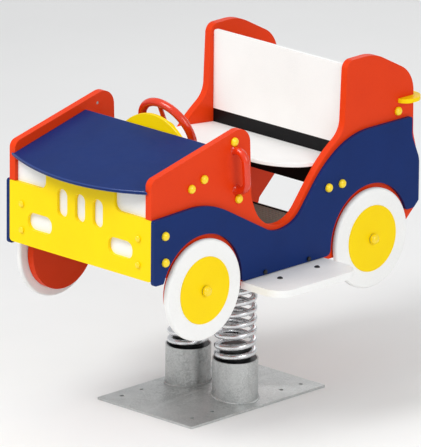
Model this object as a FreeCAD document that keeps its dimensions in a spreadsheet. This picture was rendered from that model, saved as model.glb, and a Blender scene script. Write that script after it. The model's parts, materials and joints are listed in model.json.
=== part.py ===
# Two-seat spring rider in the shape of a small open car.
# A galvanised ground plate carries two short tubes. A coil spring stands in each tube and the two springs
# carry a car made of coloured boards, with turning wheels, a steering wheel, a seat, steps and grab handles.
# Millimetres, +X forward, +Y to the car's left, +Z up. Outlines measure X from the line of the two springs.
import FreeCAD, Part
import math
import os
import Sketcher

Vector = FreeCAD.Vector
Rotation = FreeCAD.Rotation
Placement = FreeCAD.Placement

doc = FreeCAD.newDocument("spring_car")

# ---- driving dimensions -------------------------------------------------------------------------------
dimensions = {
    "spring_line_x": -17.1,      # where the springs stand, so that the whole car is centred on the origin
    "spring_y": 100,           # each spring's distance from the centre line
    "plate_length": 580,
    "plate_width": 400,
    "plate_thick": 8,
    "plate_rise": 18,          # how far the folded plate's middle stands above its rim
    "plate_foot": 10,          # flat rim under the plate
    "anchor_radius": 6.5,
    "anchor_outer_x": 235,
    "anchor_inner_x": 150,
    "anchor_y": 150,
    "tube_radius": 69.85,
    "tube_wall": 4,
    "tube_top": 139,
    "coil_radius": 56,         # centre of the wire
    "wire_radius": 9.5,
    "coil_pitch": 34.6,
    "spring_top": 448,
    "plug_radius": 46,
    "lower_plug_top": 178,
    "upper_plug_foot": 396,
    "seat_thick": 8,           # flange under and over each spring
    "chassis_base": 456,
    "floor_base": 490,
    "board_thick": 12,         # thin boards: floor, hood, seat, backrest, front, overlays
    "panel_inner": 275,        # inner face of each side panel
    "panel_thick": 24,
    "half_inside": 274.7,      # half width of every board that stands between the side panels
    "wheel_front_x": 361,
    "wheel_front_z": 481,
    "wheel_rear_x": -361,
    "wheel_rear_z": 487,
    "arch_radius": 170,        # the overlays' cut-outs round the wheels
    "lobe_radius": 128,
    "tyre_inner_y": 302,
    "tyre_thick": 20,
    "wheel_radius": 156,
    "disc_radius": 103.5,
    "disc_proud": 2.5,
    "axle_radius": 10,
    "axle_fit": 0.05,
    "axle_head": 3,
    "axle_cap_radius": 16,
    "side_gap": 0.3,           # play between a turning face and a fixed one
    "front_wall_x": 541,
    "front_panel_x": 553,
    "hood_x": 271,             # top of the hood's rear edge
    "hood_z": 898,
    "hood_slope": 14,
    "dash_x": 250,
    "dash_radius": 167,
    "wheel_rim_x": 196,        # middle of the steering wheel
    "wheel_rim_z": 876,
    "rim_radius": 100,
    "rim_tube": 13,
    "rim_tilt": 23,            # lean of the steering wheel from upright
    "spoke_radius": 7,
    "hub_radius": 24,
    "shaft_radius": 10,
    "bush_radius": 18,
    "seat_x": -278.7,          # top of the seat's rear edge
    "seat_z": 748.5,
    "seat_slope": 5.5,
    "seat_depth": 264,
    "back_x": -291,            # rear face of the backrest
    "back_foot": 790,
    "back_top": 1041,
    "board_foot": 637,         # lower edge of the black board under the backrest
    "shelf_base": 883,
    "shelf_thick": 13,
    "shelf_half": 330,
    "shelf_front_x": -492,     # where the shelf's outer tabs start
    "handle_tube": 12,
    "handle_height": 126,
    "handle_reach": 45,
    "handle_bend": 34,
    "step_base": 444,
    "step_thick": 22,
    "step_half": 466,
    "angle_thick": 4,
    "bolt_radius": 4.9,
    "bolt_hole": 5,
    "cap_radius": 13.5,
    "screw_radius": 3.9,
    "screw_hole": 4,
}

sheet = doc.addObject("Spreadsheet::Sheet", "Sizes")
for row, (alias, number) in enumerate(dimensions.items(), start=1):
    sheet.set(f"A{row}", alias)
    sheet.set(f"B{row}", str(number))
    sheet.setAlias(f"B{row}", alias)
doc.recompute()

nodes = []


def size(alias):
    return float(sheet.get(alias))


def bind(thing, **expressions):
    for name, expression in expressions.items():
        thing.setExpression(name, expression)


def place(thing, x="0", y="0", z="0", axis=None, angle=None):
    """Bind a thing's place, measured from the spring line, and its turn about one axis."""
    if axis is not None:
        thing.Placement = Placement(Vector(), Rotation(axis, 1))
        thing.setExpression("Placement.Rotation.Angle", f"({angle}) * 1 deg")
    thing.setExpression("Placement.Base.x", f"Sizes.spring_line_x + ({x})")
    thing.setExpression("Placement.Base.y", f"{y}")
    thing.setExpression("Placement.Base.z", f"{z}")


def node(thing, label):
    thing.Label = label
    nodes.append(thing)
    return thing


# ---- outlines -----------------------------------------------------------------------------------------
def rounded(corners):
    """Closed outline of straight runs joined by tangent arcs; each corner is (across, up, radius)."""
    spots = [Vector(across, up, 0) for across, up, _ in corners]
    joins = []
    for index, here in enumerate(spots):
        radius = corners[index][2]
        back = (spots[index - 1] - here).normalize()
        ahead = (spots[(index + 1) % len(spots)] - here).normalize()
        half = back.getAngle(ahead) / 2
        reach = radius / math.tan(half)
        inward = (back + ahead).normalize()
        middle = here + inward * (radius / math.sin(half) - radius)
        joins.append((here + back * reach, middle, here + ahead * reach))
    edges = []
    for index, (start, middle, end) in enumerate(joins):
        before = joins[index - 1][2]
        if before.distanceToPoint(start) > 1e-6:
            edges.append(Part.LineSegment(before, start))
        if start.distanceToPoint(end) > 1e-6:
            edges.append(Part.Arc(start, middle, end))
    return edges


def box_outline(low, high, radius=0):
    """Rectangle from its low to its high corner, with one corner radius."""
    corners = [(low[0], low[1], radius), (high[0], low[1], radius), (high[0], high[1], radius)]
    return rounded(corners + [(low[0], high[1], radius)])


def new_body(label):
    body = doc.addObject("PartDesign::Body", label)
    node(body, label)
    return body


def draw(body, role, edges, holes=(), lift=0):
    """Sketch on one of the body's own planes; each hole is (across, up, cell of its radius)."""
    sketch = body.newObject("Sketcher::SketchObject", body.Name + "_sketch")
    sketch.AttachmentSupport = (next(f for f in body.Origin.OriginFeatures if f.Role == role), [""])
    sketch.MapMode = "FlatFace"
    sketch.AttachmentOffset = Placement(Vector(0, 0, lift), Rotation())
    sketch.addGeometry(edges, False)
    for across, up, cell in holes:
        circle = Part.Circle(Vector(across, up, 0), Vector(0, 0, 1), size(cell))
        curve = sketch.addGeometry(circle, False)
        limit = sketch.addConstraint(Sketcher.Constraint("Radius", curve, size(cell)))
        sketch.setExpression(f"Constraints[{limit}]", f"Sizes.{cell}")
    return sketch


def pad(body, sketch, length, reverse=False):
    feature = body.newObject("PartDesign::Pad", body.Name + "_pad")
    feature.Profile = sketch
    feature.Reversed = reverse
    feature.setExpression("Length", length)
    sketch.Visibility = False
    return feature


def board(label, role, edges, thick, holes=(), reverse=False, lift=0):
    """Flat piece: one outline, its holes and a thickness."""
    body = new_body(label)
    pad(body, draw(body, role, edges, holes, lift), thick, reverse)
    return body


def side_board(label, hand, edges, thick, inner, holes=()):
    """Flat piece standing along the car; inner is the cell expression of its inner face."""
    body = board(label, "XZ_Plane", edges, thick, holes)
    place(body, y=f"{inner} + {thick}" if hand > 0 else f"-({inner})")
    return body


def turned(body, corners):
    """Revolution of an outline given as (radius, height) about the body's own Z axis."""
    sketch = draw(body, "XZ_Plane", rounded(corners))
    feature = body.newObject("PartDesign::Revolution", body.Name + "_turn")
    feature.Profile = sketch
    feature.ReferenceAxis = (sketch, ["V_Axis"])
    feature.Angle = 360
    return feature


# ---- primitives ---------------------------------------------------------------------------------------
def primitive(kind, name, **expressions):
    thing = doc.addObject("Part::" + kind, name)
    bind(thing, **expressions)
    return thing


def rod(name, radius, height, base=(0, 0, 0), direction=Vector(0, 0, 1)):
    """Cylinder from a base point along a direction; radius and height are expressions."""
    cylinder = primitive("Cylinder", name, Radius=radius, Height=height)
    cylinder.Placement = Placement(Vector(*base), Rotation(Vector(0, 0, 1), direction))
    return cylinder


def block(name, low, high):
    """Box between two corners."""
    thing = doc.addObject("Part::Box", name)
    thing.Length, thing.Width, thing.Height = (high[i] - low[i] for i in range(3))
    thing.Placement = Placement(Vector(*low), Rotation())
    return thing


def fuse(name, things):
    if len(things) == 1:
        return things[0]
    thing = doc.addObject("Part::MultiFuse", name)
    thing.Shapes = things
    return thing


def cut(name, base, tool):
    thing = doc.addObject("Part::Cut", name)
    thing.Base = base
    thing.Tool = tool
    return thing


def group(label, things):
    """Several equal pieces kept as separate solids of one node."""
    thing = doc.addObject("Part::Compound", label)
    thing.Links = things
    return node(thing, label)


hands = (("left", 1), ("right", -1))
out_y = {1: Vector(0, 1, 0), -1: Vector(0, -1, 0)}
panel_outer = size("panel_inner") + size("panel_thick")
overlay_outer = panel_outer + size("board_thick")

# ---- ground plate and tubes ---------------------------------------------------------------------------
# The plate is folded along its diagonals: a rim, a low pyramid above it and the same pyramid below it.
def pyramid(name, inset):
    """Low pyramid on a rectangle that is inset from the plate's rim, standing on Z = 0."""
    half_x = f"(Sizes.plate_length / 2 - {inset})"
    half_y = f"(Sizes.plate_width / 2 - {inset})"
    shape = primitive("Wedge", name, Xmin=f"-{half_x}", Xmax=half_x, Zmin=f"-{half_y}", Zmax=half_y,
                      Ymin="0", Ymax="Sizes.plate_rise", X2min="-10", X2max="10", Z2min="-7", Z2max="7")
    shape.Placement = Placement(Vector(), Rotation(Vector(1, 0, 0), 90))
    return shape


rim = primitive("Box", "plate_rim", Length="Sizes.plate_length", Width="Sizes.plate_width",
                Height="Sizes.plate_thick")
rim.setExpression("Placement.Base.x", "-Sizes.plate_length / 2")
rim.setExpression("Placement.Base.y", "-Sizes.plate_width / 2")
roof = pyramid("plate_roof", "0")
roof.setExpression("Placement.Base.z", "Sizes.plate_thick")
hollow = pyramid("plate_hollow", "Sizes.plate_foot")
anchor_holes = []
for anchor_x in ("anchor_outer_x", "anchor_inner_x"):
    for side_x in (1, -1):
        for side_y in (1, -1):
            hole = rod("anchor_hole", "Sizes.anchor_radius", "60", (0, 0, -5))
            hole.setExpression("Placement.Base.x", f"{side_x} * Sizes.{anchor_x}")
            hole.setExpression("Placement.Base.y", f"{side_y} * Sizes.anchor_y")
            anchor_holes.append(hole)
plate_outer = fuse("plate_outer", [rim, roof])
base_plate = cut("base_plate", plate_outer, fuse("plate_voids", [hollow] + anchor_holes))
place(base_plate)
node(base_plate, "base_plate")

# Each tube stands on the sloping plate and is cut to it.
for name, hand in hands:
    outer = rod(f"tube_outer_{name}", "Sizes.tube_radius", "Sizes.tube_top - 4", (0, 0, 4))
    bore = rod(f"tube_bore_{name}", "Sizes.tube_radius - Sizes.tube_wall", "Sizes.tube_top", (0, 0, 1))
    pipe = cut(f"tube_pipe_{name}", outer, bore)
    pipe.setExpression("Placement.Base.y", f"{hand} * Sizes.spring_y")
    tube = cut(f"post_tube_{name}", pipe, plate_outer)
    place(tube)
    node(tube, f"post_tube_{name}")

# ---- springs and the plugs that hold them -------------------------------------------------------------
bore_radius = size("tube_radius") - size("tube_wall") - 0.15
seat_foot = size("tube_top") - size("seat_thick")
for name, hand in hands:
    lower = new_body(f"lower_plug_{name}")
    turned(lower, [(0, seat_foot, 0), (bore_radius, seat_foot, 0), (bore_radius, size("tube_top"), 2),
                   (size("plug_radius"), size("tube_top"), 0), (size("plug_radius"), size("lower_plug_top"), 5),
                   (0, size("lower_plug_top"), 0)])
    place(lower, y=f"{hand} * Sizes.spring_y")

    spring = new_body(f"spring_{name}")
    wire = draw(spring, "XZ_Plane", [], [(size("coil_radius"), 0, "wire_radius")])
    coil = spring.newObject("PartDesign::AdditiveHelix", f"coil_{name}")
    coil.Profile = wire
    coil.ReferenceAxis = (wire, ["V_Axis"])
    coil.Mode = "pitch-height-angle"
    bind(coil, Pitch="Sizes.coil_pitch", Height="Sizes.spring_top - Sizes.tube_top - 2 * Sizes.wire_radius")
    place(spring, y=f"{hand} * Sizes.spring_y", z="Sizes.tube_top + Sizes.wire_radius")

    upper = new_body(f"upper_plug_{name}")
    turned(upper, [(0, size("upper_plug_foot"), 0), (size("plug_radius"), size("upper_plug_foot"), 5),
                   (size("plug_radius"), size("spring_top"), 0), (0, size("spring_top"), 0)])
    place(upper, y=f"{hand} * Sizes.spring_y")

# ---- chassis and floor --------------------------------------------------------------------------------
top_plates = []
for name, hand in hands:
    flange = primitive("Box", f"top_plate_{name}", Length="260", Width="130", Height="Sizes.seat_thick")
    place(flange, x="-130", y=f"{hand} * Sizes.spring_y - 65", z="Sizes.spring_top")
    top_plates.append(flange)
group("spring_top_plates", top_plates)

chassis_low = size("chassis_base")
chassis_high = size("floor_base")
wall = 3
flange_y = size("panel_inner") - 8
outsides = []
insides = []
for cross_x in (94, -94):
    low = (cross_x - 20, -flange_y, chassis_low)
    high = (cross_x + 20, flange_y, chassis_high)
    outsides.append(block("cross_tube", low, high))
    insides.append(block("cross_bore", (low[0] + wall, low[1], low[2] + wall),
                         (high[0] - wall, high[1], high[2] - wall)))
for name, hand in hands:
    low = (-320, hand * 195 - 15, chassis_low)
    high = (320, hand * 195 + 15, chassis_high)
    outsides.append(block("long_tube", low, high))
    insides.append(block("long_bore", (low[0], low[1] + wall, low[2] + wall),
                         (high[0], high[1] - wall, high[2] - wall)))
tubes = cut("chassis_tubes", fuse("chassis_outside", outsides), fuse("chassis_inside", insides))
end_plates = []
for cross_x in (94, -94):
    for name, hand in hands:
        near, far = sorted((hand * flange_y, hand * (size("panel_inner") - 0.2)))
        end_plates.append(block("end_plate", (cross_x - 40, near, chassis_low), (cross_x + 40, far, chassis_high)))
plated = fuse("chassis_plated", [tubes] + end_plates)
flange_holes = []
for cross_x in (94, -94):
    flange_holes.append(rod("flange_hole", "Sizes.bolt_hole", "700", (cross_x, -350, 478), Vector(0, 1, 0)))
chassis = cut("chassis_frame", plated, fuse("flange_holes", flange_holes))
place(chassis)
node(chassis, "chassis_frame")

half_inside = size("half_inside")
floor = board("floor_plate", "XY_Plane", box_outline((-330, -half_inside), (330, half_inside), 3),
              "Sizes.board_thick")
place(floor, z="Sizes.floor_base")
trim = board("floor_trim", "XZ_Plane", box_outline((-338, 487), (-330.2, 505), 2), "2 * Sizes.half_inside")
place(trim, y="Sizes.half_inside")

# ---- side panels --------------------------------------------------------------------------------------
axle_spots = {"front": (size("wheel_front_x"), size("wheel_front_z")),
              "rear": (size("wheel_rear_x"), size("wheel_rear_z"))}
slot_low = size("shelf_base") - 0.2
slot_high = size("shelf_base") + size("shelf_thick") + 0.2
slot_end = size("shelf_front_x")
front_x = size("front_panel_x")
nose_x = front_x + size("board_thick")

# Going round from the foot of the front edge: nose, sloping front, door dip, high back, tail and shelf slot.
panel_corners = [
    (front_x - 0.2, 545, 8), (front_x - 0.2, 735, 0), (nose_x, 735, 0), (nose_x, 854, 25), (151, 953, 50),
    (143, 720, 90), (103, 612, 115), (-25, 606, 102), (-159, 772, 400), (-257.5, 841, 70), (-267.5, 1057, 30),
    (-388, 1058, 160), (-560, 967, 100), (-560, slot_high, 2), (slot_end, slot_high, 0), (slot_end, slot_low, 0),
    (-560, slot_low, 2), (-561, 775, 60), (-589, 672, 50), (-589, 556, 10), (-478, 453, 0), (460, 453, 0),
    (474, 545, 0),
]
bracket_bolts = {
    "front": [(520, 681), (519, 599)],
    "hood": [(346, 817), (399, 798)],
    "handle": [(219, 907), (199, 726)],
    "seat": [(-177, 684), (-235, 685)],
    "shelf": [(-490, 858)],
}
overlaid = ("front", "seat")
all_bolts = [spot for spots in bracket_bolts.values() for spot in spots]
chassis_spots = [(94, 478), (-94, 478)]

for name, hand in hands:
    panel = new_body(f"side_panel_{name}")
    main = draw(panel, "XZ_Plane", rounded(panel_corners))
    pad(panel, main, "Sizes.panel_thick")
    lobes = draw(panel, "XZ_Plane", [], [(x, z, "lobe_radius") for x, z in axle_spots.values()])
    pad(panel, lobes, "Sizes.panel_thick")
    bolt_circles = [(x, z, "bolt_hole") for x, z in all_bolts + chassis_spots]
    axle_circles = [(x, z, "axle_radius") for x, z in axle_spots.values()]
    drill = panel.newObject("PartDesign::Pocket", f"panel_holes_{name}")
    drill.Profile = draw(panel, "XZ_Plane", [], bolt_circles + axle_circles)
    drill.setExpression("Length", "Sizes.panel_thick")
    drill.Reversed = True
    place(panel, y="Sizes.panel_inner + Sizes.panel_thick" if hand > 0 else "-Sizes.panel_inner")
    panel.setExpression("Placement.Base.x", "Sizes.spring_line_x")

# ---- blue overlays ------------------------------------------------------------------------------------
# The arches are arcs about the axles; past each axle the arch runs on along its tangent to a low corner.
def arch_exit(spot, low, tip):
    """Where the tangent at height low meets the arch's top line, and where it reaches height tip."""
    arch = size("arch_radius")
    rise = low - spot[1]
    reach = math.sqrt(arch ** 2 - rise ** 2)
    top = reach - (spot[1] + arch - low) * rise / reach
    return top, reach + (low - tip) * rise / reach


arch = size("arch_radius")
front_axle, front_axle_z = axle_spots["front"]
rear_axle, rear_axle_z = axle_spots["rear"]
front_top, front_tip = arch_exit(axle_spots["front"], 543, 533)
rear_top, rear_tip = arch_exit(axle_spots["rear"], 552, 541)
overlay_foot = 468.5
overlay_corners = [
    (nose_x + 1, 533, 12), (front_axle + front_tip, 533, 7), (front_axle + front_top, front_axle_z + arch, arch),
    (front_axle - arch, front_axle_z + arch, arch), (front_axle - arch, overlay_foot, 12),
    (rear_axle + arch, overlay_foot, 18), (rear_axle + arch, rear_axle_z + arch, arch),
    (rear_axle - rear_top, rear_axle_z + arch, arch), (rear_axle - rear_tip, 541, 7), (-555, 541, 6),
    (-577, 561, 8), (-577, 695, 70), (-545, 770, 60), (-545, 832, 9), (-285, 832, 275), (-162, 756, 380),
    (-43, 608, 112), (49.5, 589, 120), (330, 744, 300), (nose_x + 1, 735, 8),
]
for name, hand in hands:
    spots = [spot for part in overlaid for spot in bracket_bolts[part]] + chassis_spots
    side_board(f"overlay_{name}", hand, rounded(overlay_corners), "Sizes.board_thick",
               "(Sizes.panel_inner + Sizes.panel_thick)", [(x, z, "bolt_hole") for x, z in spots])

# ---- front wall, front panel and hood -----------------------------------------------------------------
front_wall = board("front_wall", "YZ_Plane", box_outline((-half_inside, 547), (half_inside, 811), 2),
                   "Sizes.board_thick", [(y, z, "screw_hole") for y in (246, -246) for z in (588, 669)])
place(front_wall, x="Sizes.front_wall_x")

bumper_half = panel_outer
raised_half = 144
front_corners = [(bumper_half, 543, 12), (bumper_half, 734, 4), (raised_half, 734, 26), (raised_half, 808, 3),
                 (-raised_half, 808, 3), (-raised_half, 734, 26), (-bumper_half, 734, 4), (-bumper_half, 543, 12)]
front_edges = rounded(front_corners)
for y in (-75, 0, 75):
    front_edges += box_outline((y - 21.5, 664), (y + 21.5, 752), 21.49)
for y in (-170, 170):
    front_edges += box_outline((y - 51, 595.5), (y + 51, 650.5), 25)
front_panel = board("front_panel", "YZ_Plane", front_edges, "Sizes.board_thick",
                    [(y, z, "screw_hole") for y in (246, -246) for z in (588, 669)])
place(front_panel, x="Sizes.front_panel_x")

screws = []
for y in (246, -246):
    for z in (588, 669):
        shank = rod("front_shank", "Sizes.screw_radius", "2 * Sizes.board_thick + 12",
                    (size("front_wall_x") - 12, y, z), Vector(1, 0, 0))
        head = rod("front_head", "8", "4", (nose_x, y, z), Vector(1, 0, 0))
        screw = fuse("front_screw", [shank, head])
        place(screw)
        screws.append(screw)
group("front_screws", screws)

# The hood is drawn in its own sloping plane: X runs down and forward from its rear edge.
ear = 309
ear_half = 287
hood_front = 363
hood_edges = [
    Part.LineSegment(Vector(0, -half_inside, 0), Vector(0, half_inside, 0)),
    Part.LineSegment(Vector(0, half_inside, 0), Vector(ear, half_inside, 0)),
    Part.LineSegment(Vector(ear, half_inside, 0), Vector(ear, ear_half, 0)),
    Part.Arc(Vector(ear, ear_half, 0), Vector(hood_front, 0, 0), Vector(ear, -ear_half, 0)),
    Part.LineSegment(Vector(ear, -ear_half, 0), Vector(ear, -half_inside, 0)),
    Part.LineSegment(Vector(ear, -half_inside, 0), Vector(0, -half_inside, 0)),
]
hood = board("hood", "XY_Plane", hood_edges, "Sizes.board_thick", reverse=True)
place(hood, x="Sizes.hood_x", z="Sizes.hood_z", axis=Vector(0, 1, 0), angle="Sizes.hood_slope")


# ---- steel angles -------------------------------------------------------------------------------------
def angle_section(hand, top, depth, reach=40):
    """L section across the car: a flange of given reach at the top and a leg down the panel's inner face."""
    thick = size("angle_thick")
    outer = hand * (size("panel_inner") - 0.1)
    inner = outer - hand * reach
    leg = outer - hand * thick
    return rounded([(outer, top, 0), (inner, top, 0), (inner, top - thick, 0), (leg, top - thick, 2),
                    (leg, top - depth, 0), (outer, top - depth, 0)])


def angle_pair(label, top, depth, start, length, bolts, where):
    """Left and right steel angles in a tilted frame; bolts are (along, up) in that frame."""
    pair = []
    for name, hand in hands:
        body = doc.addObject("PartDesign::Body", f"{label}_{name}")
        pad(body, draw(body, "YZ_Plane", angle_section(hand, top, depth), lift=start), str(length))
        holes = fuse(f"{label}_holes_{name}", [rod("angle_hole", "Sizes.bolt_hole", "60",
                                                    (along, hand * 250, up), out_y[hand])
                                                for along, up in bolts])
        piece = cut(f"{label}_drilled_{name}", body, holes)
        place(piece, **where)
        pair.append(piece)
    group(label, pair)


def into_frame(spot, origin, degrees):
    """A point of the side view, seen from a frame at origin whose X axis dips by the given angle."""
    away_x = spot[0] - origin[0]
    away_z = spot[1] - origin[1]
    dip = math.radians(degrees)
    return (away_x * math.cos(dip) - away_z * math.sin(dip), away_x * math.sin(dip) + away_z * math.cos(dip))


under = -size("board_thick") - 0.1
hood_spots = [into_frame(spot, (size("hood_x"), size("hood_z")), size("hood_slope"))
              for spot in bracket_bolts["hood"]]
angle_pair("hood_brackets", under, 70, 70, 105, hood_spots,
           dict(x="Sizes.hood_x", z="Sizes.hood_z", axis=Vector(0, 1, 0), angle="Sizes.hood_slope"))
seat_spots = [into_frame(spot, (size("seat_x"), size("seat_z")), -size("seat_slope"))
              for spot in bracket_bolts["seat"]]
angle_pair("seat_brackets", under, 80, 12, 100, seat_spots,
           dict(x="Sizes.seat_x", z="Sizes.seat_z", axis=Vector(0, 1, 0), angle="-Sizes.seat_slope"))
angle_pair("shelf_brackets", size("shelf_base") - 0.1, 46, -530, 90, bracket_bolts["shelf"], dict())


def corner_angles(label, face_x, direction, low, high, holes=()):
    """Upright angles in both corners: one leg on a cross board's face, the other on the side panel."""
    thick = size("angle_thick")
    pair = []
    for name, hand in hands:
        side = hand * (size("panel_inner") - 0.1)
        edges = rounded([(face_x, side, 0), (face_x, side - hand * 40, 0),
                         (face_x + direction * thick, side - hand * 40, 0),
                         (face_x + direction * thick, side - hand * thick, 2),
                         (face_x + direction * 40, side - hand * thick, 0), (face_x + direction * 40, side, 0)])
        body = doc.addObject("PartDesign::Body", f"{label}_{name}")
        pad(body, draw(body, "XY_Plane", edges, lift=low), str(high - low))
        piece = body
        if holes:
            piece = cut(f"{label}_drilled_{name}", body,
                        fuse(f"{label}_holes_{name}", [rod("angle_hole", "Sizes.bolt_hole", "60", base, way)
                                                        for base, way in holes[hand]]))
        place(piece)
        pair.append(piece)
    group(label, pair)


wall_face = size("front_wall_x") - 0.1
front_holes = {hand: [((x, hand * 240, z), out_y[hand]) for x, z in bracket_bolts["front"]]
               + [((wall_face - 20, hand * 246, z), Vector(1, 0, 0)) for z in (588, 669)] for _, hand in hands}
corner_angles("corner_brackets", wall_face, -1, 572, 712, front_holes)
corner_angles("back_angles", size("back_x") - 0.1, -1, 655, 885)

# ---- dash and steering --------------------------------------------------------------------------------
rim_z = size("wheel_rim_z")
tilt = math.radians(size("rim_tilt"))
dash_middle_x = size("dash_x") + size("board_thick") / 2
shaft_z = rim_z - (dash_middle_x - size("wheel_rim_x")) * math.tan(tilt)
dash_radius = size("dash_radius")
dash_edges = rounded([(-dash_radius, 640, 12), (dash_radius, 640, 12), (dash_radius, 937, dash_radius - 0.01),
                      (-dash_radius, 937, dash_radius - 0.01)])
dash = board("dash_panel", "YZ_Plane", dash_edges + [Part.Circle(Vector(0, shaft_z, 0), Vector(0, 0, 1), 24)],
             "Sizes.board_thick")
place(dash, x="Sizes.dash_x")
dash_angles = []
for name, hand in hands:
    arm = block(f"dash_arm_{name}", (size("dash_x") + size("board_thick") + 0.1, hand * 150 - 15, 700),
                (size("dash_x") + size("board_thick") + 4.1, hand * 150 + 15, 760))
    near, far = sorted((hand * 150, hand * (size("panel_inner") - 0.1)))
    bar = block(f"dash_bar_{name}", (size("dash_x") + size("board_thick") + 0.1, near, 715),
                (size("dash_x") + size("board_thick") + 20, far, 745))
    piece = fuse(f"dash_bracket_{name}", [arm, bar])
    place(piece)
    dash_angles.append(piece)
group("dash_brackets", dash_angles)

# Steering pieces are drawn about the wheel's own axis, Z pointing back and up towards the child.
on_wheel = dict(x="Sizes.wheel_rim_x", z="Sizes.wheel_rim_z", axis=Vector(0, 1, 0),
                angle="Sizes.rim_tilt - 90")
flange_spot = (size("dash_x") - size("wheel_rim_x") - 4, 0, shaft_z - rim_z)
flange = primitive("Cylinder", "bush_flange", Radius="34", Height="4")
lean = Rotation(Vector(0, 1, 0), 90 - size("rim_tilt"))
flange.Placement = Placement(lean.multVec(Vector(*flange_spot)), lean.multiply(Rotation(Vector(0, 1, 0), 90)))
bush_outer = rod("bush_outer", "Sizes.bush_radius", "60", (0, 0, -95))
bush_bore = rod("bush_bore", "Sizes.shaft_radius + Sizes.axle_fit", "120", (0, 0, -120))
bush = cut("steering_bush", fuse("bush_body", [bush_outer, flange]), bush_bore)
place(bush, **on_wheel)
node(bush, "steering_bush")

ring = primitive("Torus", "steering_rim", Radius1="Sizes.rim_radius", Radius2="Sizes.rim_tube")
place(ring, **on_wheel)
node(ring, "steering_rim")
spokes = []
for turn in (0, 120, 240):
    way = Vector(math.cos(math.radians(turn)), math.sin(math.radians(turn)), 0)
    start = way * (size("hub_radius") - 4)
    spokes.append(rod("spoke", "Sizes.spoke_radius", "Sizes.rim_radius - Sizes.hub_radius", tuple(start), way))
hub_core = rod("hub_core", "Sizes.hub_radius", "44", (0, 0, -34))
rim_core = primitive("Torus", "rim_core", Radius1="Sizes.rim_radius", Radius2="Sizes.rim_tube")
star = cut("steering_spokes", fuse("spoke_star", spokes), fuse("spoke_ends", [hub_core, rim_core]))
place(star, **on_wheel)
node(star, "steering_spokes")
hub_outer = rod("hub_outer", "Sizes.hub_radius", "44", (0, 0, -34))
hub_bore = rod("hub_bore", "Sizes.shaft_radius", "60", (0, 0, -40))
hub = cut("steering_hub", hub_outer, hub_bore)
place(hub, **on_wheel)
node(hub, "steering_hub")
collar_outer = rod("collar_outer", "16", "7", (0, 0, -102.5))
collar_bore = rod("collar_bore", "Sizes.shaft_radius", "20", (0, 0, -110))
collar = cut("steering_collar", collar_outer, collar_bore)
place(collar, **on_wheel)
node(collar, "steering_collar")
lid = new_body("steering_cap")
turned(lid, [(0, 10.1, 0), (size("hub_radius") - 2, 10.1, 0), (size("hub_radius") - 2, 17, 6), (0, 17, 0)])
place(lid, **on_wheel)
shaft = new_body("steering_shaft")
turned(shaft, [(0, -108, 0), (size("shaft_radius"), -108, 0), (size("shaft_radius"), 8, 1), (0, 8, 0)])
place(shaft, **on_wheel)

# ---- seat, back and shelf -----------------------------------------------------------------------------
seat_depth = size("seat_depth")
seat_edges = rounded([(0, -half_inside, 2), (0, half_inside, 2), (seat_depth, half_inside, 128),
                      (seat_depth, -half_inside, 128)])
seat = board("seat", "XY_Plane", seat_edges, "Sizes.board_thick", reverse=True)
place(seat, x="Sizes.seat_x", z="Sizes.seat_z", axis=Vector(0, 1, 0), angle="-Sizes.seat_slope")
backrest = board("backrest", "YZ_Plane", rounded([
    (half_inside, size("back_foot"), 1), (half_inside, size("back_top"), 9),
    (-half_inside, size("back_top"), 9), (-half_inside, size("back_foot"), 1)]), "Sizes.board_thick")
place(backrest, x="Sizes.back_x")
rear_board = board("rear_board", "YZ_Plane", box_outline((-half_inside, size("board_foot")),
                   (half_inside, size("back_foot") - 0.4), 1), "Sizes.board_thick")
place(rear_board, x="Sizes.back_x")

tail = -588.5
shelf_nose = -440
shelf_half = size("shelf_half")
tab_front = slot_end - 0.3
inside = size("panel_inner") - 0.3
shelf_edges = rounded([
    (tail, -shelf_half, 50), (tail, shelf_half, 50), (tab_front, shelf_half, 34), (tab_front, inside, 1),
    (shelf_nose, inside, 2), (shelf_nose, -inside, 2), (tab_front, -inside, 1), (tab_front, -shelf_half, 34)])
shelf = board("rear_shelf", "XY_Plane", shelf_edges, "Sizes.shelf_thick")
place(shelf, z="Sizes.shelf_base")

# ---- grab handles -------------------------------------------------------------------------------------
for name, hand in hands:
    handle = new_body(f"grab_handle_{name}")
    reach = hand * size("handle_reach")
    tall = size("handle_height")
    bend = size("handle_bend")
    dip = bend * (1 - math.sqrt(0.5))
    elbow = hand * (size("handle_reach") - bend)
    path = [
        Part.LineSegment(Vector(0, 0, 0), Vector(elbow, 0, 0)),
        Part.Arc(Vector(elbow, 0, 0), Vector(reach - hand * dip, dip, 0), Vector(reach, bend, 0)),
        Part.LineSegment(Vector(reach, bend, 0), Vector(reach, tall - bend, 0)),
        Part.Arc(Vector(reach, tall - bend, 0), Vector(reach - hand * dip, tall - dip, 0), Vector(elbow, tall, 0)),
        Part.LineSegment(Vector(elbow, tall, 0), Vector(0, tall, 0)),
    ]
    spine = draw(handle, "YZ_Plane", path)
    section = draw(handle, "XZ_Plane", [], [(0, 0, "handle_tube")])
    bow = handle.newObject("PartDesign::AdditivePipe", f"bow_{name}")
    bow.Profile = section
    bow.Spine = (spine, [f"Edge{number}" for number in range(1, 6)])
    place(handle, x="206", y=f"{hand} * (Sizes.panel_inner + Sizes.panel_thick)", z="755.5",
          axis=Vector(0, 1, 0), angle="4.5")

# ---- steps --------------------------------------------------------------------------------------------
step_spots = [(80, 361), (-80, 361)]
for name, hand in hands:
    near = hand * (panel_outer + 0.3)
    far = hand * size("step_half")
    edges = rounded([(188, near, 4), (188, far, 60), (-164, far, 60), (-164, near, 4)])
    step = board(f"step_{name}", "XY_Plane", edges, "Sizes.step_thick",
                 [(x, hand * y, "bolt_hole") for x, y in step_spots])
    place(step, z="Sizes.step_base")

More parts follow.
